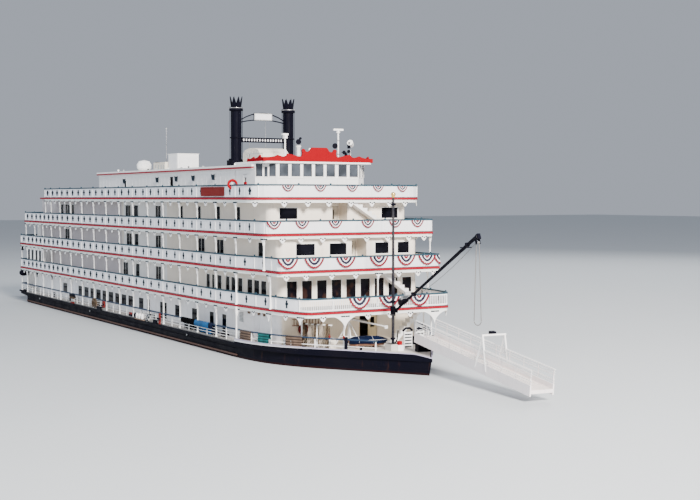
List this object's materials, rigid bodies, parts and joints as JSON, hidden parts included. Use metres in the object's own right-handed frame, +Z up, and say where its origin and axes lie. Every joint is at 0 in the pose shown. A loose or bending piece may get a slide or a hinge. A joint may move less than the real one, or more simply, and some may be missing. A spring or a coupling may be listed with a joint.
{
  "type": "sternwheel paddle boat scale model",
  "caption": "Sternwheel paddle boat at 1:10 scale: flat hull, galleried decks, pilothouse with crest, crowned stacks, turning wheel, rudders, bow boom and hinged landing stage.",
  "frame": {"origin": "on the flat bottom of the hull, on the centreline, 3.3 m (33 m at full size) aft of the front of the second deck's corner datum", "axes": "+X towards the bow, +Y to port, +Z up"},
  "size_m": [10.225, 1.64, 2.4841],
  "materials": {
    "hull_black": "satin",
    "deck_grey": "matte",
    "deck_edge_red": "satin",
    "house_cream": "satin",
    "gallery_white": "satin",
    "house_white": "satin",
    "roof_red": "satin",
    "roof_white": "satin",
    "crest_red": "satin",
    "stack_black": "satin",
    "gear_white": "gloss",
    "gear_dome": "gloss",
    "gear_black": "satin",
    "boom_black": "satin",
    "stage_metal": "matte",
    "wheel_red": "painted",
    "timber_black": "matte",
    "rudder_steel": "matte",
    "engine_grey": "painted",
    "door_cream": "painted",
    "door_white": "satin",
    "stair_white": "satin",
    "tender_shell": "gloss",
    "tender_canvas": "woven",
    "stowage_blue": "tarpaulin"
  },
  "bodies": {
    "boat": {"hull": "hull_black", "bow_coaming": "hull_black", "main_deck": "deck_grey", "deck_2": "deck_edge_red", "deck_3": "deck_edge_red", "deck_4": "deck_edge_red", "deck_5": "deck_edge_red", "stair_1": "stair_white", "stair_2": "stair_white", "stair_4": "stair_white", "house_1": "house_cream", "house_2": "house_cream", "house_3": "house_cream", "house_4": "house_cream", "gallery_1": "gallery_white", "gallery_2": "gallery_white", "gallery_3": "gallery_white", "gallery_4": "gallery_white", "rail_5": "gallery_white", "texas_house": "house_white", "texas_roof": "roof_red", "pilothouse": "house_white", "pilothouse_roof": "roof_white", "crest": "crest_red", "stack_starboard": "stack_black", "stack_port": "stack_black", "stack_arch": "stack_black", "stack_board": "stack_black", "roof_unit_aft": "roof_white", "roof_locker": "roof_white", "radome": "gear_dome", "radar_mast": "gear_white", "searchlight_1": "gear_black", "bow_pole": "boom_black", "stage_heel": "boom_black", "timber_starboard": "timber_black", "timber_port": "timber_black", "engine_block": "engine_grey", "bow_rail_starboard": "gallery_white", "bow_rail_port": "gallery_white", "tender": "tender_shell", "tender_cover": "tender_canvas", "davit_post": "gear_white", "stowage_blue": "stowage_blue"},
    "wheel": {"paddle_wheel": "wheel_red"},
    "rudder_a": {"rudder_1": "rudder_steel"},
    "rudder_b": {"rudder_2": "rudder_steel"},
    "rudder_c": {"rudder_3": "rudder_steel"},
    "boom_swivel": {"boom_collar": "boom_black"},
    "cargo_boom": {"boom": "boom_black"},
    "landing_stage": {"stage": "stage_metal"},
    "davit_arm": {"davit_jib": "gear_white"},
    "radar_head": {"radar_scanner": "gear_white"},
    "entrance_starboard": {"entrance_leaf_starboard": "door_cream"},
    "entrance_port": {"entrance_leaf_port": "door_cream"},
    "pilot_door": {"pilothouse_door": "door_white"},
    "upper_door_starboard": {"texas_door_starboard": "door_white"},
    "upper_door_port": {"texas_door_port": "door_white"},
    "front_door_3": {"recess_door_3": "door_cream"},
    "front_door_4": {"recess_door_4": "door_cream"}
  },
  "joints": [
    {"name": "wheel_spin", "type": "hinge", "parent": "boat", "child": "wheel", "pos_m": [-4.57, 0, 0.49], "axis": [0, 1, 0], "continuous": true},
    {"name": "rudder_1_turn", "type": "hinge", "parent": "boat", "child": "rudder_a", "pos_m": [-4.02, -0.28, 0.25], "axis": [0, 0, 1], "range_deg": [-35, 35]},
    {"name": "rudder_2_turn", "type": "hinge", "parent": "boat", "child": "rudder_b", "pos_m": [-4.02, 0, 0.25], "axis": [0, 0, 1], "range_deg": [-35, 35]},
    {"name": "rudder_3_turn", "type": "hinge", "parent": "boat", "child": "rudder_c", "pos_m": [-4.02, 0.28, 0.25], "axis": [0, 0, 1], "range_deg": [-35, 35]},
    {"name": "boom_slew", "type": "hinge", "parent": "boat", "child": "boom_swivel", "pos_m": [3.41, 0, 0.672], "axis": [0, 0, 1], "range_deg": [-80, 80]},
    {"name": "boom_luff", "type": "hinge", "parent": "boom_swivel", "child": "cargo_boom", "pos_m": [3.45555, -0.0064, 0.672], "axis": [-0.1392, -0.9903, 0], "range_deg": [-15, 45]},
    {"name": "stage_luff", "type": "hinge", "parent": "boat", "child": "landing_stage", "pos_m": [3.585, 0.165, 0.468], "axis": [-0.1219, -0.9925, 0], "range_deg": [-2, 45]},
    {"name": "davit_slew", "type": "hinge", "parent": "boat", "child": "davit_arm", "pos_m": [2.99, -0.15, 0.5603], "axis": [0, 0, 1], "range_deg": [-88, 50]},
    {"name": "radar_spin", "type": "hinge", "parent": "boat", "child": "radar_head", "pos_m": [2.11, 0.262, 2.133], "axis": [0, 0, 1], "continuous": true},
    {"name": "entrance_starboard_hinge", "type": "hinge", "parent": "boat", "child": "entrance_starboard", "pos_m": [2.752, 0.09, 0.47], "axis": [0, 0, 1], "range_deg": [-85, 0]},
    {"name": "entrance_port_hinge", "type": "hinge", "parent": "boat", "child": "entrance_port", "pos_m": [2.752, 0.257, 0.47], "axis": [0, 0, 1], "range_deg": [-85, 0]},
    {"name": "pilothouse_door_hinge", "type": "hinge", "parent": "boat", "child": "pilot_door", "pos_m": [1.925, -0.534, 1.65], "axis": [0, 0, 1], "range_deg": [0, 85]},
    {"name": "texas_door_starboard_hinge", "type": "hinge", "parent": "boat", "child": "upper_door_starboard", "pos_m": [0.27, -0.534, 1.65], "axis": [0, 0, 1], "range_deg": [0, 85]},
    {"name": "texas_door_port_hinge", "type": "hinge", "parent": "boat", "child": "upper_door_port", "pos_m": [0.27, 0.534, 1.65], "axis": [0, 0, 1], "range_deg": [-85, 0]},
    {"name": "recess_door_3_hinge", "type": "hinge", "parent": "boat", "child": "front_door_3", "pos_m": [2.604, 0.136, 1.07], "axis": [0, 0, 1], "range_deg": [0, 85]},
    {"name": "recess_door_4_hinge", "type": "hinge", "parent": "boat", "child": "front_door_4", "pos_m": [2.444, 0.051, 1.36], "axis": [0, 0, 1], "range_deg": [0, 85]}
  ],
  "couplings": [
    {"joint": "rudder_1_turn", "follows": "rudder_2_turn", "ratio": 1},
    {"joint": "rudder_3_turn", "follows": "rudder_2_turn", "ratio": 1}
  ]
}
